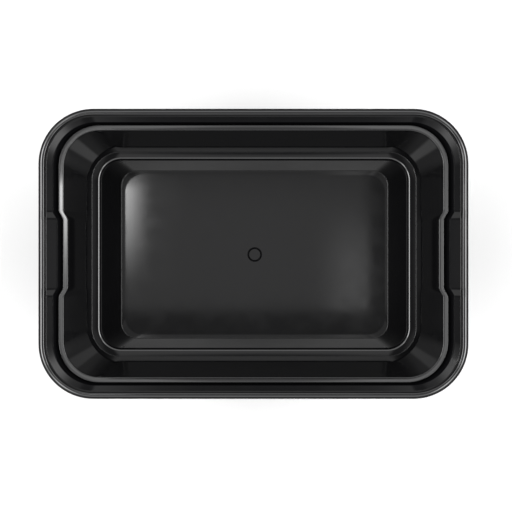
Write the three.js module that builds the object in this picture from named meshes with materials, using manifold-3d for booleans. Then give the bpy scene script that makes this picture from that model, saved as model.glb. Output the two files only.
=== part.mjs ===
// Open takeaway lunch box in black moulded plastic: one thin-walled piece with a two-tier cavity.
//
// From the outside in, the mouth has a rounded rim with a skirt, a sloping flange, a narrow groove
// that takes the bead of a lid, and a raised ring. The cavity falls from the ring in an upper tier
// to a ledge, and from the ledge in a lower tier to the floor. The ring, the groove and the top of
// the wall step inwards at the middle of both ends.
//
// Units are millimetres. +X runs along the length and +Z is up. The origin is at the middle of the
// base, on the surface that the box stands on.

import * as THREE from 'three';
import { mergeVertices } from 'three/addons/utils/BufferGeometryUtils.js';
import Module from 'manifold-3d';

// ---------------------------------------------------------------- driving dimensions

const RIM_LENGTH = 175;
const RIM_WIDTH = 118.2;
const HEIGHT = 68;
const RIM_CORNER = 22.4;
const WALL = 0.8;

// Widths are seen from above. "end" is at the two short ends, "side" along the two long sides.
const RIM_BAND = { end: 2.85, side: 2.9 };
const RIM_LEAN = 0.2;
const FLANGE = { end: 2.2, side: 2.2 };
const GROOVE = { end: 2.75, side: 1.3 };
const GROOVE_FLAT = 0.4;
const RING = { end: 2.1, side: 2.2 };
const UPPER_LEAN = { end: 5.8, side: 5.1 };
const LEDGE = { end: 3.8, side: 3.6 };
const LOWER_LEAN = { end: 3.5, side: 1.2 };

// Depths are measured down from the top of the rim.
const FLANGE_DEPTH = 2.3;
const FLANGE_FALL = 0.66;
const GROOVE_DEPTH = 5.2;
const RING_DEPTH = 2.4;
const LEDGE_DEPTH = 31.2;
const LEDGE_FALL = 1;
const SKIRT_DEPTH = 7;
const SKIRT_LEAN = 0.15;

// Corner radii in plan.
const RING_CORNER = 16.8;
const LEDGE_CORNER = 12.6;
const FLOOR_CORNER = 7.2;

// The notch in both ends: how far the ring steps in, how much higher the wider flange starts there,
// its flat, its slanted shoulders, and the depth at which the wall below it is straight again.
const NOTCH_STEP = 1.8;
const NOTCH_RISE = 0.54;
const NOTCH_FLAT = 27.4;
const NOTCH_SHOULDER = 4.4;
const NOTCH_FADE_DEPTH = 15;

// The foot is a band around the base. The panel inside it stands clear of the table.
const FOOT_BAND = 4.2;
const FOOT_RECESS = 0.6;
const FOOT_RAMP = 0.8;

// The gate mark of the mould, a shallow circular groove at the middle of the floor.
const GATE_RADIUS = 3.5;
const GATE_GROOVE_WIDTH = 0.85;
const GATE_GROOVE_DEPTH = 0.35;

// How far each edge of the section is rounded.
const RIM_ROUND = 1.6;
const RIM_INNER_ROUND = 0.9;
const RIM_UNDER_ROUND = 0.7;
const RING_ROUND = 0.45;
const LEDGE_HOLLOW = 0.3;
const LEDGE_ROUND = 1.3;
const FLOOR_HOLLOW = 0.3;
const BASE_ROUND = 2.2;
const SKIRT_ROUND = 0.25;

// Facets along each quarter corner, each notch shoulder and each rounded edge.
const CORNER_STEPS = 9;
const SHOULDER_STEPS = 3;
const ROUND_STEPS = 2;
const GATE_STEPS = 32;

// The largest share of a face that the rounding of one of its edges may take.
const LARGEST_ROUND_SHARE = 0.6;

// Points closer than this are one point when a geometry becomes a solid.
const MERGE_DISTANCE = 1e-4;

// Base colour and gloss of the moulded plastic.
const BLACK_PLASTIC = { color: 0x121314, roughness: 0.16, metalness: 0 };

// ---------------------------------------------------------------- outline in plan

// One level of the box: a rounded rectangle at a height, with how far it steps in and rises at the
// notch. "round" is how far the section is rounded where it turns at this level.
function level(inset, depth, corner, round = 0, notch = 0, rise = 0) {
  return {
    halfX: RIM_LENGTH / 2 - inset.end,
    halfY: RIM_WIDTH / 2 - inset.side,
    z: HEIGHT - depth,
    corner,
    round,
    notch,
    rise,
  };
}

function widened(inset, by) {
  return { end: inset.end + by, side: inset.side + by };
}

function plus(inset, step) {
  return { end: inset.end + step.end, side: inset.side + step.side };
}

function mix(a, b, t) {
  return a + (b - a) * t;
}

// How much of the notch applies at a distance y from the middle of an end: all of it on the flat,
// easing out over the shoulder.
function notchShare(y) {
  const t = (Math.abs(y) - NOTCH_FLAT / 2) / NOTCH_SHOULDER;
  const out = THREE.MathUtils.clamp(t, 0, 1);
  return 1 - out * out * (3 - 2 * out);
}

// Places along an end where the notch needs a point.
function notchStops() {
  const stops = [];
  for (let i = 0; i <= SHOULDER_STEPS; i++) {
    stops.push(NOTCH_FLAT / 2 + NOTCH_SHOULDER * (i / SHOULDER_STEPS));
  }
  return [...stops.map((y) => -y).reverse(), ...stops];
}

// The level's outline, anticlockwise from the middle of the +X end's lower shoulder. Every level
// has the same number of points, so that neighbours can be joined point by point.
function outline(at) {
  const points = [];
  const corner = (centreX, centreY, from) => {
    for (let i = 0; i <= CORNER_STEPS; i++) {
      const angle = from + (Math.PI / 2) * (i / CORNER_STEPS);
      const x = centreX + at.corner * Math.cos(angle);
      const y = centreY + at.corner * Math.sin(angle);
      points.push([x, y, at.z]);
    }
  };
  const end = (direction) => {
    for (const y of notchStops()) {
      const share = notchShare(y);
      const x = direction * (at.halfX - at.notch * share);
      points.push([x, direction * y, at.z + at.rise * share]);
    }
  };
  const centreX = at.halfX - at.corner;
  const centreY = at.halfY - at.corner;
  end(1);
  corner(centreX, centreY, 0);
  corner(-centreX, centreY, Math.PI / 2);
  end(-1);
  corner(-centreX, -centreY, Math.PI);
  corner(centreX, -centreY, -Math.PI / 2);
  return points;
}

// ---------------------------------------------------------------- section through the wall

// The part of the upper wall's lean that it has at a depth.
function upperLean(depth) {
  const share = (depth - RING_DEPTH) / (LEDGE_DEPTH - RING_DEPTH);
  return { end: UPPER_LEAN.end * share, side: UPPER_LEAN.side * share };
}

const NO_INSET = { end: 0, side: 0 };
const RIM_EDGE = plus(NO_INSET, RIM_BAND);
const RIM_FOOT = widened(RIM_EDGE, RIM_LEAN);
const FLANGE_EDGE = plus(RIM_FOOT, FLANGE);
const RING_OUTSIDE = plus(FLANGE_EDGE, GROOVE);
const GROOVE_BOTTOM = widened(RING_OUTSIDE, -GROOVE_FLAT);
const RING_INSIDE = plus(RING_OUTSIDE, RING);
const LEDGE_OUTSIDE = plus(RING_INSIDE, UPPER_LEAN);
const LEDGE_INSIDE = plus(LEDGE_OUTSIDE, LEDGE);
const FLOOR_EDGE = plus(LEDGE_INSIDE, LOWER_LEAN);

const FLOOR_DEPTH = HEIGHT - FOOT_RECESS - WALL;

// From the floor's edge inwards to where it is flat for certain, past the hollow along its edge.
const FLOOR_MARGIN = 2 * FLOOR_HOLLOW;
const WALL_TOP_CORNER = RING_CORNER - RING.end;
const LEDGE_INNER_CORNER = LEDGE_CORNER - LEDGE.side;
const RIM_INNER_CORNER = RIM_CORNER - RIM_BAND.end;
const RIM_FOOT_CORNER = RIM_INNER_CORNER - RIM_LEAN;
const FLANGE_INNER_CORNER = RING_CORNER + GROOVE.side;

// The plan radius of the upper wall's corners at a depth.
function wallCorner(depth) {
  const share = (depth - RING_DEPTH) / (LEDGE_DEPTH - RING_DEPTH);
  return mix(WALL_TOP_CORNER, LEDGE_CORNER, share);
}

// The surface that food and lid see, from the floor up over the ledge and the ring to the rim.
function insideLevels() {
  const fade = plus(RING_INSIDE, upperLean(NOTCH_FADE_DEPTH));
  return [
    level(widened(FLOOR_EDGE, FLOOR_MARGIN), FLOOR_DEPTH, FLOOR_CORNER - FLOOR_HOLLOW),
    level(FLOOR_EDGE, FLOOR_DEPTH, FLOOR_CORNER, FLOOR_HOLLOW),
    level(LEDGE_INSIDE, LEDGE_DEPTH + LEDGE_FALL, LEDGE_INNER_CORNER, LEDGE_ROUND),
    level(LEDGE_OUTSIDE, LEDGE_DEPTH, LEDGE_CORNER, LEDGE_HOLLOW),
    level(fade, NOTCH_FADE_DEPTH, wallCorner(NOTCH_FADE_DEPTH)),
    level(RING_INSIDE, RING_DEPTH, WALL_TOP_CORNER, RING_ROUND, NOTCH_STEP),
    level(RING_OUTSIDE, RING_DEPTH, RING_CORNER, RING_ROUND, NOTCH_STEP),
    level(RING_OUTSIDE, GROOVE_DEPTH, RING_CORNER, 0, NOTCH_STEP),
    level(GROOVE_BOTTOM, GROOVE_DEPTH, RING_CORNER + GROOVE_FLAT, 0, NOTCH_STEP),
    level(FLANGE_EDGE, FLANGE_DEPTH + FLANGE_FALL, FLANGE_INNER_CORNER, 0, NOTCH_STEP),
    level(RIM_FOOT, FLANGE_DEPTH, RIM_FOOT_CORNER, 0, 0, NOTCH_RISE),
    level(RIM_EDGE, 0, RIM_INNER_CORNER, RIM_INNER_ROUND),
  ];
}

// The surface that shows from the side and from below: the rim's outer edge, the skirt, the
// hollow inside the skirt, the underside of flange and groove, and the wall down to the foot.
function outsideLevels() {
  const skirt = widened(NO_INSET, SKIRT_LEAN);
  const skirtInside = widened(skirt, WALL);
  const rimHollow = widened(RIM_EDGE, -WALL);
  const flangeUnder = widened(RIM_FOOT, -WALL);
  const flangeEdgeUnder = widened(FLANGE_EDGE, -WALL);
  const grooveUnder = widened(GROOVE_BOTTOM, -WALL);
  const grooveUnderCorner = RING_CORNER + GROOVE_FLAT + WALL;
  const underDepth = GROOVE_DEPTH + WALL;
  const wallTop = widened(plus(RING_INSIDE, upperLean(underDepth)), -WALL);
  const fade = widened(plus(RING_INSIDE, upperLean(NOTCH_FADE_DEPTH)), -WALL);
  const foot = widened(FLOOR_EDGE, -WALL);
  const footInside = widened(foot, BASE_ROUND + FOOT_BAND);
  const panel = widened(footInside, FOOT_RAMP);
  const notchUnder = NOTCH_STEP * (1 - (underDepth - RING_DEPTH) / (NOTCH_FADE_DEPTH - RING_DEPTH));
  return [
    level(NO_INSET, 0, RIM_CORNER, RIM_ROUND),
    level(skirt, SKIRT_DEPTH, RIM_CORNER, SKIRT_ROUND),
    level(skirtInside, SKIRT_DEPTH, RIM_CORNER - WALL, SKIRT_ROUND),
    level(widened(NO_INSET, WALL), WALL, RIM_CORNER - WALL, RIM_UNDER_ROUND),
    level(rimHollow, WALL, RIM_INNER_CORNER + WALL),
    level(flangeUnder, FLANGE_DEPTH + WALL, RIM_FOOT_CORNER + WALL, 0, 0, NOTCH_RISE),
    level(
      flangeEdgeUnder,
      FLANGE_DEPTH + FLANGE_FALL + WALL,
      FLANGE_INNER_CORNER + WALL,
      0,
      NOTCH_STEP,
    ),
    level(grooveUnder, underDepth, grooveUnderCorner, 0, NOTCH_STEP),
    level(wallTop, underDepth, wallCorner(underDepth) + WALL, RING_ROUND, notchUnder),
    level(fade, NOTCH_FADE_DEPTH, wallCorner(NOTCH_FADE_DEPTH) + WALL),
    level(widened(LEDGE_OUTSIDE, -WALL), LEDGE_DEPTH + WALL, LEDGE_CORNER + WALL, LEDGE_ROUND),
    level(
      widened(LEDGE_INSIDE, -WALL),
      LEDGE_DEPTH + LEDGE_FALL + WALL,
      LEDGE_INNER_CORNER + WALL,
      LEDGE_HOLLOW,
    ),
    level(foot, HEIGHT, FLOOR_CORNER + WALL, BASE_ROUND),
    level(footInside, HEIGHT, FLOOR_CORNER - BASE_ROUND),
    level(panel, HEIGHT - FOOT_RECESS, FLOOR_CORNER - BASE_ROUND - FOOT_RAMP),
  ];
}

function between(a, b, t) {
  return {
    halfX: mix(a.halfX, b.halfX, t),
    halfY: mix(a.halfY, b.halfY, t),
    z: mix(a.z, b.z, t),
    corner: mix(a.corner, b.corner, t),
    notch: mix(a.notch, b.notch, t),
    rise: mix(a.rise, b.rise, t),
  };
}

function distance(a, b) {
  return Math.hypot(a.halfY - b.halfY, a.z - b.z);
}

// Replaces each level that has a rounding by a short curve between its two neighbours.
function rounded(levels) {
  const result = [];
  levels.forEach((here, i) => {
    const before = levels[i - 1];
    const after = levels[i + 1];
    if (!here.round || !before || !after) {
      result.push(here);
      return;
    }
    const reach = (other) => Math.min(here.round / distance(here, other), LARGEST_ROUND_SHARE);
    const start = between(here, before, reach(before));
    const stop = between(here, after, reach(after));
    for (let k = 0; k <= ROUND_STEPS; k++) {
      const t = k / ROUND_STEPS;
      result.push(between(between(start, here, t), between(here, stop, t), t));
    }
  });
  return result;
}

// ---------------------------------------------------------------- solids

// Joins the rings of levels, from the middle of the floor to the middle of the base, into one
// closed surface.
function shellGeometry(levels) {
  const rings = levels.map(outline);
  const count = rings[0].length;
  const floorMiddle = [0, 0, rings[0][0][2]];
  const baseMiddle = [0, 0, rings[rings.length - 1][0][2]];
  const positions = [floorMiddle, ...rings.flat(), baseMiddle].flat();
  const ringPoint = (ring, i) => 1 + ring * count + (i % count);
  const last = 1 + rings.length * count;
  const index = [];
  for (let i = 0; i < count; i++) {
    index.push(0, ringPoint(0, i), ringPoint(0, i + 1));
    for (let ring = 0; ring + 1 < rings.length; ring++) {
      const a = ringPoint(ring, i);
      const b = ringPoint(ring, i + 1);
      const c = ringPoint(ring + 1, i + 1);
      const d = ringPoint(ring + 1, i);
      index.push(a, d, b, b, d, c);
    }
    index.push(last, ringPoint(rings.length - 1, i + 1), ringPoint(rings.length - 1, i));
  }
  const geometry = new THREE.BufferGeometry();
  geometry.setAttribute('position', new THREE.Float32BufferAttribute(positions, 3));
  geometry.setIndex(index);
  return geometry;
}

// The ring of material that the gate mark takes out of the floor. It starts just above the floor.
function gateGeometry() {
  const floor = HEIGHT - FLOOR_DEPTH;
  const outer = GATE_RADIUS;
  const inner = GATE_RADIUS - GATE_GROOVE_WIDTH;
  const bottom = floor - GATE_GROOVE_DEPTH;
  const top = floor + GATE_GROOVE_DEPTH;
  const bevel = GATE_GROOVE_WIDTH / 4;
  const profile = [
    [inner, top],
    [inner, floor],
    [inner + bevel, bottom],
    [outer - bevel, bottom],
    [outer, floor],
    [outer, top],
    [inner, top],
  ].map(([radius, z]) => new THREE.Vector2(radius, z));
  return new THREE.LatheGeometry(profile.reverse(), GATE_STEPS).rotateX(Math.PI / 2);
}

const wasm = await Module();
wasm.setup();

function solid(geometry) {
  const bare = geometry.clone();
  bare.deleteAttribute('normal');
  bare.deleteAttribute('uv');
  const merged = mergeVertices(bare, MERGE_DISTANCE);
  const vertProperties = new Float32Array(merged.attributes.position.array);
  const triVerts = new Uint32Array(merged.index.array);
  return new wasm.Manifold(new wasm.Mesh({ numProp: 3, vertProperties, triVerts }));
}

function geometryOf(body) {
  const mesh = body.getMesh();
  const geometry = new THREE.BufferGeometry();
  geometry.setAttribute('position', new THREE.BufferAttribute(mesh.vertProperties, 3));
  geometry.setIndex(new THREE.BufferAttribute(mesh.triVerts, 1));
  geometry.computeVertexNormals();
  return geometry;
}

// ---------------------------------------------------------------- the lunch box

const shell = shellGeometry(rounded([...insideLevels(), ...outsideLevels()]));
const box = solid(shell).subtract(solid(gateGeometry()));

const lunchBox = new THREE.Mesh(geometryOf(box), new THREE.MeshStandardMaterial(BLACK_PLASTIC));
lunchBox.name = 'lunch_box';

const model = new THREE.Group();
model.name = 'two_tier_lunch_box';
model.add(lunchBox);

export default model;
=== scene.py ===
# %% [markdown]
# # An open takeaway lunch box in black moulded plastic
#
# The real box is one thin shell of polypropylene, shot into a polished steel mould. Its cavity falls
# in two tiers, and its rim, flange, groove and ring are there to grip a lid. This notebook models
# the whole shell as one closed mesh, gives it a glossy moulded finish, and lights it softly.
#
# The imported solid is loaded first. It says how large the box is and where it stands, and nothing
# below moves or resizes it.

# %% Load the frame
import math

import bmesh
import bpy
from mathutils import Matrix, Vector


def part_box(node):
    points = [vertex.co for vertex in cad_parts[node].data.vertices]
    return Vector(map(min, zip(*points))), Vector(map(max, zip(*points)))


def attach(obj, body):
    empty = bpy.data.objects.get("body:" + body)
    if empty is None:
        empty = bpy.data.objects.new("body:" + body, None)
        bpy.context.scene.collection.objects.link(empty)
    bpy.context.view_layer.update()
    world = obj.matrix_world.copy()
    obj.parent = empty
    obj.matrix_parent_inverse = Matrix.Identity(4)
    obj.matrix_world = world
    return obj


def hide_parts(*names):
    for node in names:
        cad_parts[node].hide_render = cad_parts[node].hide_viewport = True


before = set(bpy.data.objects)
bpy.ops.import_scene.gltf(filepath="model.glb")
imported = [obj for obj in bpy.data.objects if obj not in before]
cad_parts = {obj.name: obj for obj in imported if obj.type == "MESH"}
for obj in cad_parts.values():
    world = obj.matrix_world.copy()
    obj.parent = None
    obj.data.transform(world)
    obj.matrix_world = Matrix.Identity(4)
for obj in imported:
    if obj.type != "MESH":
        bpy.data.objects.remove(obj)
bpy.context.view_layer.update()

bpy.ops.object.select_all(action="DESELECT")
lowest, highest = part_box("lunch_box")
print("frame nodes:", sorted(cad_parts), "size:", [round(v, 4) for v in highest - lowest])

# %% [markdown]
# ## The camera
#
# The box is seen from straight above, so near and far parts differ only by perspective: the walls
# show because the lens is close. A longer lens further away would hide them. The camera therefore
# stands about 0.35 m above the rim. Its axis meets the box a few millimetres to the right of the
# middle and towards the front, and a small shift of the lens keeps the picture centred.

# %% Camera
# Places are in metres, lens and sensor in millimetres, and shifts in widths of the sensor.
MM = 0.001
CAMERA_HEIGHT = 414 * MM
CAMERA_X = 3.2 * MM
CAMERA_Y = -1.8 * MM
LENS = 60.12
SENSOR = 36
SHIFT_X = -0.0104
SHIFT_Y = 0.0044

bpy.ops.object.camera_add(location=(CAMERA_X, CAMERA_Y, CAMERA_HEIGHT), rotation=(0, 0, 0))
camera = bpy.context.object
camera.name = "camera_above"
camera.data.lens = LENS
camera.data.sensor_width = SENSOR
camera.data.shift_x = SHIFT_X
camera.data.shift_y = SHIFT_Y
bpy.context.scene.camera = camera
print("camera at", [round(v, 4) for v in camera.location])

# %% [markdown]
# ## Sizes of the section
#
# A box like this is a stack of rounded rectangles. Each edge of its section is one such outline,
# given by how far it lies inside the rim, how deep it lies below the rim, and the radius of its
# corners. The two short ends and the two long sides have slightly different widths, so each width
# is a pair: at the ends, along the sides. The overall size comes from the frame.

# %% Driving sizes, in millimetres
HALF_LENGTH = highest.x / MM
HALF_WIDTH = highest.y / MM
HEIGHT = highest.z / MM
WALL = 0.8

RIM_BAND = (2.85, 2.9)
RIM_LEAN = 0.2
FLANGE = (2.2, 2.2)
GROOVE = (2.75, 1.3)
RING = (2.1, 2.2)
UPPER_LEAN = (5.8, 5.1)
LEDGE = (3.8, 3.6)
LOWER_LEAN = (3.5, 1.2)

FLANGE_DEPTH = 2.3
FLANGE_FALL = 0.66
GROOVE_DEPTH = 5.2
GROOVE_FLAT = 0.4
RING_DEPTH = 2.4
NOTCH_FADE_DEPTH = 15
LEDGE_DEPTH = 31.2
LEDGE_FALL = 1
SKIRT_DEPTH = 7
FOOT_RECESS = 0.6
FLOOR_DEPTH = HEIGHT - FOOT_RECESS - WALL

RIM_CORNER = 22.4
RING_CORNER = 16.8
LEDGE_CORNER = 12.6
FLOOR_CORNER = 7.2


def plus(a, b):
    """Adds two widths, or a width and one number for both ends and sides."""
    end, side = b if isinstance(b, tuple) else (b, b)
    return (a[0] + end, a[1] + side)


def mix(a, b, share):
    """A number between two others, at a share of the way from the first to the second."""
    return a + (b - a) * share


RIM_EDGE = plus((0, 0), RIM_BAND)
RIM_FOOT = plus(RIM_EDGE, RIM_LEAN)
FLANGE_EDGE = plus(RIM_FOOT, FLANGE)
RING_OUTSIDE = plus(FLANGE_EDGE, GROOVE)
GROOVE_BOTTOM = plus(RING_OUTSIDE, -GROOVE_FLAT)
RING_INSIDE = plus(RING_OUTSIDE, RING)
LEDGE_OUTSIDE = plus(RING_INSIDE, UPPER_LEAN)
LEDGE_INSIDE = plus(LEDGE_OUTSIDE, LEDGE)
FLOOR_EDGE = plus(LEDGE_INSIDE, LOWER_LEAN)
WALL_TOP_CORNER = RING_CORNER - RING[0]
print("floor edge lies inside the rim by", FLOOR_EDGE, "mm")

# %% [markdown]
# ## The edges of the section
#
# The section is walked once around, from the floor over the rim and down the outside to the base,
# and each edge on the way is noted with how far it is rounded. On gloss black the roundings are
# nearly all that shows, because each one draws a bright line, so their sizes matter most.

# %% How far each edge is rounded, in millimetres
FLOOR_ROUND = 0.2
LEDGE_INNER_ROUND = 1.3
LEDGE_OUTER_ROUND = 0.15
RING_INNER_ROUND = 0.45
RING_OUTER_ROUND = 0.35
GROOVE_ROUND = 0.15
RIM_FOOT_ROUND = 0.1
RIM_INNER_ROUND = 0.8
RIM_OUTER_ROUND = 2.0
RIM_UNDER_ROUND = 0.7
SKIRT_ROUND = 0.25
GROOVE_UNDER_ROUND = 0.3
WALL_TOP_ROUND = 0.45
LEDGE_UNDER_ROUND = 1.7
LEDGE_BACK_ROUND = 0.5
BASE_ROUND = 2.2
print("the rim is rounded by", RIM_OUTER_ROUND, "mm outside and", RIM_INNER_ROUND, "mm inside")

# %% The inside, from the floor up to the rim
section = []


def edge(name, inset, depth, corner, rounding=0.0, notch=0.0, rise=0.0):
    """Notes one edge of the section. In the notches it steps in and rises by the last two sizes."""
    section.append(
        {
            "name": name,
            "half_length": HALF_LENGTH - inset[0],
            "half_width": HALF_WIDTH - inset[1],
            "height": HEIGHT - depth,
            "corner": corner,
            "rounding": rounding,
            "notch": notch,
            "rise": rise,
        }
    )


def wall_share(depth):
    """How far down the upper wall a depth lies, from 0 at the ring to 1 at the ledge."""
    return (depth - RING_DEPTH) / (LEDGE_DEPTH - RING_DEPTH)


def on_wall(depth):
    """The upper wall's inset at a depth."""
    share = wall_share(depth)
    return plus(RING_INSIDE, (UPPER_LEAN[0] * share, UPPER_LEAN[1] * share))


def wall_corner(depth):
    """The radius of the upper wall's corners at a depth."""
    return mix(WALL_TOP_CORNER, LEDGE_CORNER, wall_share(depth))


# FLOOR_MARGIN is the strip of floor between its edge and the first outline.
NOTCH = 1.8
NOTCH_RISE = 0.54
FLOOR_MARGIN = 5
RIM_INNER_CORNER = RIM_CORNER - RIM_BAND[0]
RIM_FOOT_CORNER = RIM_INNER_CORNER - RIM_LEAN
GROOVE_CORNER = RING_CORNER + GROOVE[1]
FLANGE_END_DEPTH = FLANGE_DEPTH + FLANGE_FALL
LEDGE_INNER_CORNER = LEDGE_CORNER - LEDGE[1]

edge("floor_flat", plus(FLOOR_EDGE, FLOOR_MARGIN), FLOOR_DEPTH, FLOOR_CORNER - FLOOR_MARGIN)
edge("floor_edge", FLOOR_EDGE, FLOOR_DEPTH, FLOOR_CORNER, FLOOR_ROUND)
edge("ledge_inside", LEDGE_INSIDE, LEDGE_DEPTH + LEDGE_FALL, LEDGE_INNER_CORNER, LEDGE_INNER_ROUND)
edge("ledge_outside", LEDGE_OUTSIDE, LEDGE_DEPTH, LEDGE_CORNER, LEDGE_OUTER_ROUND)
edge("notch_fade", on_wall(NOTCH_FADE_DEPTH), NOTCH_FADE_DEPTH, wall_corner(NOTCH_FADE_DEPTH))
edge("ring_inside", RING_INSIDE, RING_DEPTH, WALL_TOP_CORNER, RING_INNER_ROUND, NOTCH)
edge("ring_outside", RING_OUTSIDE, RING_DEPTH, RING_CORNER, RING_OUTER_ROUND, NOTCH)
edge("groove_inside", RING_OUTSIDE, GROOVE_DEPTH, RING_CORNER, GROOVE_ROUND, NOTCH)
edge("groove_outside", GROOVE_BOTTOM, GROOVE_DEPTH, RING_CORNER + GROOVE_FLAT, GROOVE_ROUND, NOTCH)
edge("flange_edge", FLANGE_EDGE, FLANGE_END_DEPTH, GROOVE_CORNER, notch=NOTCH)
edge("rim_foot", RIM_FOOT, FLANGE_DEPTH, RIM_FOOT_CORNER, RIM_FOOT_ROUND, rise=NOTCH_RISE)
edge("rim_inside", RIM_EDGE, 0, RIM_INNER_CORNER, RIM_INNER_ROUND)

# %% The outside, from the rim down to the base
# The wall has the same thickness everywhere, so most outlines here are those of the inside, moved
# out and down by it. Only a share of the notch is left at the wall's top, which lies lower outside.
UNDER_DEPTH = GROOVE_DEPTH + WALL
FOOT_BAND = 4.2
FOOT_RAMP = 0.8
SKIRT_LEAN = 0.15
SKIRT_EDGE = plus((0, 0), SKIRT_LEAN)
FOOT_INSIDE = plus(FLOOR_EDGE, BASE_ROUND + FOOT_BAND - WALL)
notch_under = NOTCH * (NOTCH_FADE_DEPTH - UNDER_DEPTH) / (NOTCH_FADE_DEPTH - RING_DEPTH)

edge("rim_outside", (0, 0), 0, RIM_CORNER, RIM_OUTER_ROUND)
edge("skirt_outside", SKIRT_EDGE, SKIRT_DEPTH, RIM_CORNER, SKIRT_ROUND)
edge("skirt_inside", plus(SKIRT_EDGE, WALL), SKIRT_DEPTH, RIM_CORNER - WALL, SKIRT_ROUND)
edge("rim_under", plus((0, 0), WALL), WALL, RIM_CORNER - WALL, RIM_UNDER_ROUND)
edge("rim_hollow", plus(RIM_EDGE, -WALL), WALL, RIM_INNER_CORNER + WALL)
foot_under = plus(RIM_FOOT, -WALL)
foot_corner = RIM_FOOT_CORNER + WALL
edge("flange_under", foot_under, FLANGE_DEPTH + WALL, foot_corner, rise=NOTCH_RISE)
end_under = plus(FLANGE_EDGE, -WALL)
edge("flange_edge_under", end_under, FLANGE_END_DEPTH + WALL, GROOVE_CORNER + WALL, notch=NOTCH)
groove_under = plus(GROOVE_BOTTOM, -WALL)
under_corner = RING_CORNER + GROOVE_FLAT + WALL
edge("groove_under", groove_under, UNDER_DEPTH, under_corner, GROOVE_UNDER_ROUND, NOTCH)
wall_top = plus(on_wall(UNDER_DEPTH), -WALL)
wall_top_corner = wall_corner(UNDER_DEPTH) + WALL
edge("wall_top", wall_top, UNDER_DEPTH, wall_top_corner, WALL_TOP_ROUND, notch_under)
fade_corner = wall_corner(NOTCH_FADE_DEPTH) + WALL
edge("notch_fade_outside", plus(on_wall(NOTCH_FADE_DEPTH), -WALL), NOTCH_FADE_DEPTH, fade_corner)
ledge_under = plus(LEDGE_OUTSIDE, -WALL)
edge("ledge_under", ledge_under, LEDGE_DEPTH + WALL, LEDGE_CORNER + WALL, LEDGE_UNDER_ROUND)
ledge_back = plus(LEDGE_INSIDE, -WALL)
back_depth = LEDGE_DEPTH + LEDGE_FALL + WALL
edge("ledge_back", ledge_back, back_depth, LEDGE_INNER_CORNER + WALL, LEDGE_BACK_ROUND)
edge("foot", plus(FLOOR_EDGE, -WALL), HEIGHT, FLOOR_CORNER + WALL, BASE_ROUND)
edge("foot_inside", FOOT_INSIDE, HEIGHT, FLOOR_CORNER - BASE_ROUND)
panel_corner = FLOOR_CORNER - BASE_ROUND - FOOT_RAMP
edge("base_panel", plus(FOOT_INSIDE, FOOT_RAMP), HEIGHT - FOOT_RECESS, panel_corner)
print(len(section), "edges in the section")

# %% [markdown]
# ## Rounding the edges
#
# A bevel on the finished shell would be the usual way to round its edges. Here the edges lie closer
# together than a bevel copes with, and a moulded corner has a clean round section, so the rounding
# goes into the section: each edge becomes a few outlines along an arc that touches both its faces.

# %% Arcs
# No arc reaches further than LARGEST_SHARE of the way to the next edge, so that a face stays
# between them.
DEGREES_PER_STEP = 18
FEWEST_STEPS = 3
LARGEST_SHARE = 0.7


def between(a, b, share):
    """An outline that lies between two others."""
    numbers = {key: mix(a[key], b[key], share) for key in a if key != "name"}
    return {"name": a["name"], **numbers}


def direction(here, other):
    """Which way another outline lies, across and up, and how far away it is."""
    across = other["half_width"] - here["half_width"]
    up = other["height"] - here["height"]
    length = math.hypot(across, up)
    return across / length, up / length, length


def arc(before, here, after):
    """The outlines that round one edge. They lie on a curve that starts on the face before it, is
    drawn towards the edge by a weight, and ends on the face after it."""
    a_across, a_up, a_length = direction(here, before)
    b_across, b_up, b_length = direction(here, after)
    turn = math.pi - math.acos(a_across * b_across + a_up * b_up)
    weight = math.cos(turn / 2)
    start = between(here, before, min(here["rounding"] / a_length, LARGEST_SHARE))
    stop = between(here, after, min(here["rounding"] / b_length, LARGEST_SHARE))
    steps = max(FEWEST_STEPS, round(math.degrees(turn) / DEGREES_PER_STEP))
    made = []
    for step in range(steps + 1):
        t = step / steps
        near, middle, far = (1 - t) ** 2, 2 * t * (1 - t) * weight, t * t
        towards_here = middle / (near + middle + far)
        ends = between(start, stop, far / (near + far))
        made.append(between(ends, here, towards_here))
    return made


outlines = []
for i, here in enumerate(section):
    if here["rounding"]:
        outlines += arc(section[i - 1], here, section[i + 1])
    else:
        outlines.append(here)
print(len(outlines), "outlines with the rounded edges")

# %% [markdown]
# ## Outlines as bevelled planes
#
# An outline could be drawn point by point, but a plane does it faster: it is added at its size and
# height, and its four corner points are bevelled to the radius. Only its outline is kept. Each
# outline goes into a vertex group of its own, so that it can be picked again. Two shared groups
# hold how far it steps in and how far it rises at the notches.

# %% A new, empty mesh, and an outline in it
CORNER_SEGMENTS = 20

bpy.ops.mesh.primitive_plane_add(size=1)
shell = bpy.context.object
shell.name = "lunch_box_shell"
bpy.ops.object.mode_set(mode="EDIT")
bpy.ops.mesh.delete(type="VERT")
bpy.ops.mesh.select_mode(type="VERT")
notched = shell.vertex_groups.new(name="notched")
raised = shell.vertex_groups.new(name="raised")


def assign(group, weight=1.0):
    """Puts the selected points into a vertex group."""
    shell.vertex_groups.active_index = group.index
    bpy.context.scene.tool_settings.vertex_group_weight = weight
    bpy.ops.object.vertex_group_assign()


def add_outline(at, number):
    """Adds one outline as a rounded rectangle without its face."""
    middle = (0, 0, at["height"] * MM)
    size = (2 * at["half_length"] * MM, 2 * at["half_width"] * MM, 1)
    bpy.ops.mesh.select_all(action="DESELECT")
    bpy.ops.mesh.primitive_plane_add(size=1, location=middle)
    bpy.ops.transform.resize(value=size, center_override=middle)
    bpy.ops.mesh.bevel(offset=at["corner"] * MM, segments=CORNER_SEGMENTS, affect="VERTICES")
    assign(shell.vertex_groups.new(name=f"outline_{number:03d}"))
    assign(notched, at["notch"] / NOTCH)
    assign(raised, at["rise"] / NOTCH_RISE)
    bpy.ops.mesh.delete(type="ONLY_FACE")


for number, at in enumerate(outlines):
    add_outline(at, number)
print(4 * (CORNER_SEGMENTS + 1), "points in each outline")

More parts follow.
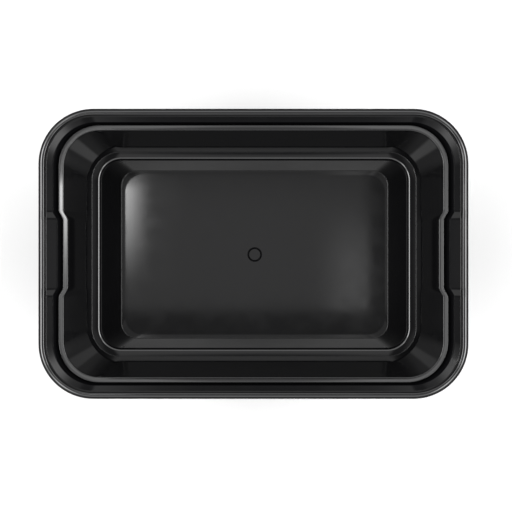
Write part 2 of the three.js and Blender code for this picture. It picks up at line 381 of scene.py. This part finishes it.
# %% [markdown]
# ## Bridging
#
# A bridge fills the strip between two outlines. Going pair by pair from the floor over the rim to
# the base gives a closed skin with an inside and an outside, apart from the middle of the floor.


# %% Bridge each outline to the next
def select_groups(*names):
    """Selects the points of the named vertex groups, and nothing else."""
    bpy.ops.mesh.select_all(action="DESELECT")
    for name in names:
        shell.vertex_groups.active_index = shell.vertex_groups[name].index
        bpy.ops.object.vertex_group_select()


# Outlines that differ less than LEVEL in height, in millimetres, count as level.
LEVEL = 0.2
HOLD_APART = 5 * MM
LIFT = (0, 0, HOLD_APART)
LOWER = (0, 0, -HOLD_APART)


def bridge(number):
    """Bridges an outline to the one before it. Level outlines are held apart meanwhile, because a
    bridge has to know which one is above, or it may come out twisted."""
    before, here = f"outline_{number - 1:03d}", f"outline_{number:03d}"
    is_level = abs(outlines[number]["height"] - outlines[number - 1]["height"]) < LEVEL
    if is_level:
        select_groups(here)
        bpy.ops.transform.translate(value=LIFT)
    select_groups(before, here)
    bpy.ops.mesh.bridge_edge_loops()
    if is_level:
        select_groups(here)
        bpy.ops.transform.translate(value=LOWER)


for number in range(1, len(outlines)):
    bridge(number)
last_outline = f"outline_{len(outlines) - 1:03d}"
select_groups(last_outline)
bpy.ops.mesh.edge_face_add()
print(len(outlines) - 1, "strips bridged")

# %% [markdown]
# ## The notches at both ends
#
# The ring, the groove and the top of the wall step inwards at the middle of each end, and the
# flange grows wider there. The rim's foot rises a little at the same place, so that the wider
# flange keeps its slope and mirrors the same dark part of the studio.
#
# The skin is cut across by planes where the step begins and ends. A Displace modifier then pushes
# the marked outlines inwards, and another lifts the rim's foot, each as far as its share of the
# step. The cuts in between round the shoulders.

# %% Notches
# The flat part and the shoulder beside it are in millimetres. The softness is the share of the
# shoulder that is rounded at each of its ends.
NOTCH_FLAT = 27.4
NOTCH_SHOULDER = 4.2
SHOULDER_CUTS = 8
SHOULDER_SOFTNESS = 0.25


def notch_share(y):
    """How much of the step applies at a distance from the middle of the end, in millimetres."""
    out = min(max((abs(y) - NOTCH_FLAT / 2) / NOTCH_SHOULDER, 0), 1)
    soft = SHOULDER_SOFTNESS
    if out < soft:
        return 1 - out * out / (2 * soft * (1 - soft))
    if out > 1 - soft:
        return (1 - out) ** 2 / (2 * soft * (1 - soft))
    return 1 - (out - soft / 2) / (1 - soft)


for cut in range(SHOULDER_CUTS + 1):
    for side in (-1, 1):
        y = side * (NOTCH_FLAT / 2 + NOTCH_SHOULDER * cut / SHOULDER_CUTS)
        bpy.ops.mesh.select_all(action="SELECT")
        bpy.ops.mesh.bisect(plane_co=(0, y * MM, 0), plane_no=(0, 1, 0))
bpy.ops.object.mode_set(mode="OBJECT")


def push(name, marks, end, axis, distance):
    """Pushes the marked outlines of one end along an axis, as far as their share of the step."""
    marked = shell.vertex_groups[marks].index
    step = shell.vertex_groups.new(name=name)
    for vertex in shell.data.vertices:
        share = sum(g.weight for g in vertex.groups if g.group == marked)
        share *= notch_share(vertex.co.y / MM)
        if share > 0 and vertex.co.x * end > 0:
            step.add([vertex.index], share, "REPLACE")
    displace = shell.modifiers.new(name, "DISPLACE")
    displace.vertex_group = name
    displace.direction = axis
    displace.mid_level = 0
    displace.strength = distance * MM
    bpy.ops.object.modifier_apply(modifier=name)


for name, end in (("left", -1), ("right", 1)):
    push(name + "_step", "notched", end, "X", -end * NOTCH)
    push(name + "_rise", "raised", end, "Z", NOTCH_RISE)
print("the ends step in by", NOTCH, "mm and the rim's foot rises by", NOTCH_RISE, "mm")

# %% [markdown]
# ## The gate mark
#
# Molten plastic enters the mould at the middle of the floor, and leaves a small round mark there: a
# shallow groove around a flat disc. A circle is set into the open middle of the floor, and three
# insets make the groove's slopes and its bottom.

# %% Gate mark
GATE_RADIUS = 3.5
GATE_SLOPE = 0.41
GATE_BOTTOM = 0.03
GATE_DEPTH = 0.35
GATE_POINTS = 48

# The circle is held above the floor until it is bridged, as level outlines are.
floor_z = (HEIGHT - FLOOR_DEPTH) * MM
above_floor = (0, 0, floor_z + HOLD_APART)
bpy.ops.object.mode_set(mode="EDIT")
bpy.ops.mesh.select_all(action="DESELECT")
bpy.ops.mesh.primitive_circle_add(vertices=GATE_POINTS, radius=GATE_RADIUS * MM, location=above_floor)
assign(shell.vertex_groups.new(name="gate"))
select_groups("gate", "outline_000")
bpy.ops.mesh.bridge_edge_loops()
select_groups("gate")
bpy.ops.transform.translate(value=LOWER)
bpy.ops.mesh.edge_face_add()
bpy.ops.mesh.select_mode(type="FACE")
for thickness, depth in ((GATE_SLOPE, -GATE_DEPTH), (GATE_BOTTOM, 0), (GATE_SLOPE, GATE_DEPTH)):
    bpy.ops.mesh.inset(thickness=thickness * MM, depth=depth * MM)
bpy.ops.mesh.select_mode(type="VERT")
print("gate mark", 2 * GATE_RADIUS, "mm across")

# %% [markdown]
# ## Closing and shading the shell
#
# Points that coincide are merged, and all faces are turned outwards. Faces that meet at a small
# angle are shaded as one smooth surface, and sharper breaks stay sharp. The limit is low on
# purpose: shading across the sharp edge of the flange would draw a broad false highlight there.

# %% Close the shell and shade it
SHARPEST_SMOOTH = 24
MERGE_DISTANCE = 0.001 * MM

bpy.ops.mesh.select_all(action="SELECT")
bpy.ops.mesh.remove_doubles(threshold=MERGE_DISTANCE)
bpy.ops.mesh.normals_make_consistent(inside=False)
bpy.ops.object.mode_set(mode="OBJECT")
bpy.ops.object.shade_smooth_by_angle(angle=math.radians(SHARPEST_SMOOTH))
weighted = shell.modifiers.new("weighted_normals", "WEIGHTED_NORMAL")
weighted.keep_sharp = True
bpy.ops.object.modifier_apply(modifier=weighted.name)
shell.vertex_groups.clear()

checked = bmesh.new()
checked.from_mesh(shell.data)
open_edges = [line for line in checked.edges if not line.is_manifold]
print("shell:", len(checked.faces), "faces,", len(open_edges), "open edges,")
print("volume", round(checked.calc_volume() * 1e6, 2), "cubic centimetres")
checked.free()

# %% [markdown]
# ## Glossy moulded polypropylene
#
# Polypropylene has an IOR of about 1.49. Carbon black makes it nearly perfectly black inside, so
# what the eye sees is the reflection on a surface that copies a polished mould. Three small flaws
# tell the eye that it is moulded:
#
# - The plastic shrinks as it cools, so its faces aren't quite flat. Sink waves 20 mm long and less
#   than a hundredth of a millimetre deep bend the reflections softly.
# - Some patches are a little less polished than others. This haze varies how sharp a reflection is.
# - The mould's polish leaves a grain. A real one is too fine to show in a picture of the whole box,
#   so it is drawn half a millimetre wide.

# %% Material tools


def linear(hex_colour):
    """Turns an sRGB hex colour into the linear colour that the shader works in."""
    channels = [int(hex_colour[i : i + 2], 16) / 255 for i in (1, 3, 5)]
    return [c / 12.92 if c <= 0.04045 else ((c + 0.055) / 1.055) ** 2.4 for c in channels] + [1]


def node(tree, kind, inputs=None, **settings):
    """Adds a node with its settings. Inputs go by name or number, as a value or another's output."""
    made = tree.nodes.new(kind)
    for name, value in settings.items():
        setattr(made, name, value)
    for name, value in (inputs or {}).items():
        if isinstance(value, bpy.types.NodeSocket):
            tree.links.new(value, made.inputs[name])
        else:
            made.inputs[name].default_value = value
    return made


# %% Black plastic
# Lengths and depths are in millimetres.
PLASTIC_IOR = 1.49
SINK_LENGTH = 20
SINK_DEPTH = 0.008
GRAIN_SIZE = 0.5
GRAIN_DEPTH = 0.0003
HAZE_SIZE = 9
HAZE_RANGE = (0.3, 0.7)
ROUGHNESS_RANGE = (0.05, 0.085)

plastic = bpy.data.materials.new("moulded_black_polypropylene")
plastic.use_nodes = True
tree = plastic.node_tree
surface = tree.nodes["Principled BSDF"]
surface.inputs["Base Color"].default_value = linear("#070708")
surface.inputs["IOR"].default_value = PLASTIC_IOR

position = node(tree, "ShaderNodeTexCoord").outputs["Object"]
sink_noise = {"Vector": position, "Scale": 1 / (SINK_LENGTH * MM), "Detail": 1}
sink = node(tree, "ShaderNodeTexNoise", sink_noise)
grain_noise = {"Vector": position, "Scale": 1 / (GRAIN_SIZE * MM), "Detail": 3}
grain = node(tree, "ShaderNodeTexNoise", grain_noise)
haze_noise = {"Vector": position, "Scale": 1 / (HAZE_SIZE * MM), "Detail": 4}
haze = node(tree, "ShaderNodeTexNoise", haze_noise)
gloss = {"Value": haze.outputs["Fac"]}
gloss["From Min"], gloss["From Max"] = HAZE_RANGE
gloss["To Min"], gloss["To Max"] = ROUGHNESS_RANGE
roughness = node(tree, "ShaderNodeMapRange", gloss)
waves = {"Height": sink.outputs["Fac"], "Distance": SINK_DEPTH * MM, "Strength": 1.0}
wavy = node(tree, "ShaderNodeBump", waves)
spark = {"Height": grain.outputs["Fac"], "Distance": GRAIN_DEPTH * MM, "Strength": 1.0}
rough = node(tree, "ShaderNodeBump", {**spark, "Normal": wavy.outputs["Normal"]})
tree.links.new(roughness.outputs["Result"], surface.inputs["Roughness"])
tree.links.new(rough.outputs["Normal"], surface.inputs["Normal"])
shell.data.materials.clear()
shell.data.materials.append(plastic)
print("plastic:", len(tree.nodes), "nodes, roughness", ROUGHNESS_RANGE)

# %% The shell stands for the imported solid
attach(shell, "root")
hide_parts("lunch_box")

# %% [markdown]
# ## Floor
#
# The box stands on matt white card. The card is left out of gloss reflections, so that the rim
# keeps a dark outer edge against the white.

# %% Floor
CARD_SIZE = 6

bpy.ops.mesh.primitive_plane_add(size=CARD_SIZE, location=(0, 0, 0))
floor = bpy.context.object
floor.name = "studio_floor"
paper = bpy.data.materials.new("matt_white_card")
paper.use_nodes = True
card = paper.node_tree.nodes["Principled BSDF"]
card.inputs["Base Color"].default_value = linear("#c0c0c0")
card.inputs["Roughness"].default_value = 0.9
card.inputs["Specular IOR Level"].default_value = 0
floor.data.materials.append(paper)
floor.visible_glossy = False
print("card", CARD_SIZE, "m across")

# %% [markdown]
# ## Light by direction
#
# Gloss black has hardly any colour of its own. What it shows is the studio, mirrored, so the light
# makes most of the picture. Lamps and reflectors could stand around the box. Here the world is
# drawn instead, because its brightness can be set for each direction alone, with nothing to place.
#
# A direction is told in two ways: by its angle from straight up, and by two slopes, which say how
# far it leans to the right and to the back for each step up.

# %% The world, and the direction it is asked for
# Near the horizon a slope would grow without end, so the height never counts as less than this.
LEAST_HEIGHT = 0.02

world = bpy.data.worlds.new("soft_studio")
bpy.context.scene.world = world
world.use_nodes = True
sky = world.node_tree


def calculate(operation, first, second=0.0):
    """One step of arithmetic in the world's nodes."""
    return node(sky, "ShaderNodeMath", {0: first, 1: second}, operation=operation).outputs[0]


where = node(sky, "ShaderNodeTexCoord").outputs["Generated"]
axes = node(sky, "ShaderNodeSeparateXYZ", {0: where})
height = calculate("MAXIMUM", axes.outputs["Z"], LEAST_HEIGHT)
across = calculate("DIVIDE", axes.outputs["X"], height)
along = calculate("DIVIDE", axes.outputs["Y"], height)
print("slopes reach", 1 / LEAST_HEIGHT)

# %% [markdown]
# ## Brightness by angle
#
# A curve gives the studio's brightness by the angle from straight up. The flat floor mirrors about
# the first ten degrees. Walls, ledge and roundings lean, so they mirror what lies further out, and
# each step of the curve shows on them as the edge of a lighter or a darker band.

# %% The curve
# Each pair is an angle from straight up, in degrees, and the brightness there.
STUDIO_BY_ANGLE = [
    (0, 1.2),
    (8, 1.2),
    (9.5, 1.6),
    (11.5, 3.0),
    (13.5, 2.8),
    (14.8, 1.6),
    (17, 0.55),
    (20, 0.4),
    (22, 0.14),
    (25, 0.14),
    (28, 0.9),
    (34, 0.8),
    (39, 2.8),
    (58, 2.8),
    (64, 0.8),
    (72, 0.2),
    (78, 0.2),
    (86, 0.4),
    (92, 0.3),
    (105, 0.3),
    (130, 0.2),
    (180, 0.1),
]
BRIGHTEST = 4.0
HALF_TURN = 180

# The curve runs from 0 to 1 both ways, so angles and brightnesses are scaled to that and back.
degrees = calculate("MULTIPLY", calculate("ARCCOSINE", axes.outputs["Z"]), HALF_TURN / math.pi)
ramp = node(sky, "ShaderNodeFloatCurve", {"Value": calculate("DIVIDE", degrees, HALF_TURN)})
curve = ramp.mapping.curves[0]
ends = (STUDIO_BY_ANGLE[0], STUDIO_BY_ANGLE[-1])
for point, (angle, brightness) in zip(list(curve.points), ends):
    point.location = (angle / HALF_TURN, brightness / BRIGHTEST)
for angle, brightness in STUDIO_BY_ANGLE[1:-1]:
    curve.points.new(angle / HALF_TURN, brightness / BRIGHTEST)
for point in curve.points:
    point.handle_type = "AUTO_CLAMPED"
ramp.mapping.update()
light = calculate("MULTIPLY", ramp.outputs[0], BRIGHTEST)
print(len(curve.points), "points on the curve")

# %% [markdown]
# ## Soft panels
#
# A studio isn't the same all round, and a curve by angle alone is. So soft panels are laid over it,
# one after the other. A panel is a rectangle in the two slopes. Each of its four sides is a pair:
# the slope where the panel has faded to nothing, and the slope where it is full. A wide pair makes
# a gradient, and a narrow one makes an edge.


# %% Panel tools
def fade_in(slope, nothing, full):
    """Rises smoothly from 0 to 1 as a slope goes from one value to the other."""
    inputs = {"Value": slope, "From Min": nothing, "From Max": full}
    made = node(sky, "ShaderNodeMapRange", inputs, interpolation_type="SMOOTHSTEP", clamp=True)
    return made.outputs["Result"]


def panel(left, right, front, back):
    """How much of a panel shows in each direction, from 0 to 1."""
    share = 1.0
    for slope, side in ((across, left), (across, right), (along, front), (along, back)):
        share = calculate("MULTIPLY", share, fade_in(slope, *side))
    return share


def over(light, share, brightness):
    """Lays a panel of a brightness over the light so far."""
    inputs = {"Factor": share, "A": light, "B": brightness}
    return node(sky, "ShaderNodeMix", inputs, data_type="FLOAT").outputs["Result"]


# %% Panels straight above, which the floor mirrors
# Each has its left, right, front and back side, and its brightness.
PANELS_ABOVE = [
    # A dim one behind the others, for the whole floor.
    ((-0.19, -0.17), (0.19, 0.17), (-0.13, -0.11), (0.13, 0.11), 0.25),
    # A lighter one, which ends short of the floor's right and front edge.
    ((-0.19, -0.17), (0.128, 0.123), (-0.0645, -0.0585), (0.17, 0.05), 0.8),
    # A small one in its front right corner.
    ((0.06, 0.11), (0.128, 0.123), (-0.0645, -0.0575), (0.075, -0.015), 1.6),
    # A bright one beyond the left edge, which fades out over the floor and grows towards the back.
    ((-0.26, -0.24), (-0.13, -0.176), (-0.04, 0.125), (0.094, 0.083), 23),
]
for *sides, brightness in PANELS_ABOVE:
    light = over(light, panel(*sides), brightness)
print(len(PANELS_ABOVE), "panels above")

# %% Panels at both ends and towards the corners
END_LEFT = ((-1.5, -1.3), (-0.8, -0.95))
END_RIGHT = ((0.8, 0.95), (1.5, 1.3))
END_FRONT_TO_BACK = ((-0.6, -0.4), (0.6, 0.4))
END_BRIGHTNESS = 16
for end in (END_RIGHT, END_LEFT):
    light = over(light, panel(*end, *END_FRONT_TO_BACK), END_BRIGHTNESS)

# On the diagonals the left and the front panel have the same slopes, and so do right and back.
CORNER_BELOW = ((-0.95, -0.8), (-0.42, -0.5))
CORNER_ABOVE = ((0.42, 0.5), (0.95, 0.8))
BACK_CORNERS = 6
FRONT_CORNERS = 9
for sides in (CORNER_BELOW, CORNER_ABOVE):
    light = over(light, panel(*sides, *CORNER_ABOVE), BACK_CORNERS)
    light = over(light, panel(*sides, *CORNER_BELOW), FRONT_CORNERS)
print("brightest panel towards the corners", max(BACK_CORNERS, FRONT_CORNERS))

# %% The light goes into the world
background = sky.nodes["Background"]
background.inputs["Color"].default_value = (1, 1, 1, 1)
sky.links.new(light, background.inputs["Strength"])
bpy.context.scene.view_settings.view_transform = "Standard"
print("world:", len(sky.nodes), "nodes")

# %% Update the scene
bpy.context.view_layer.update()
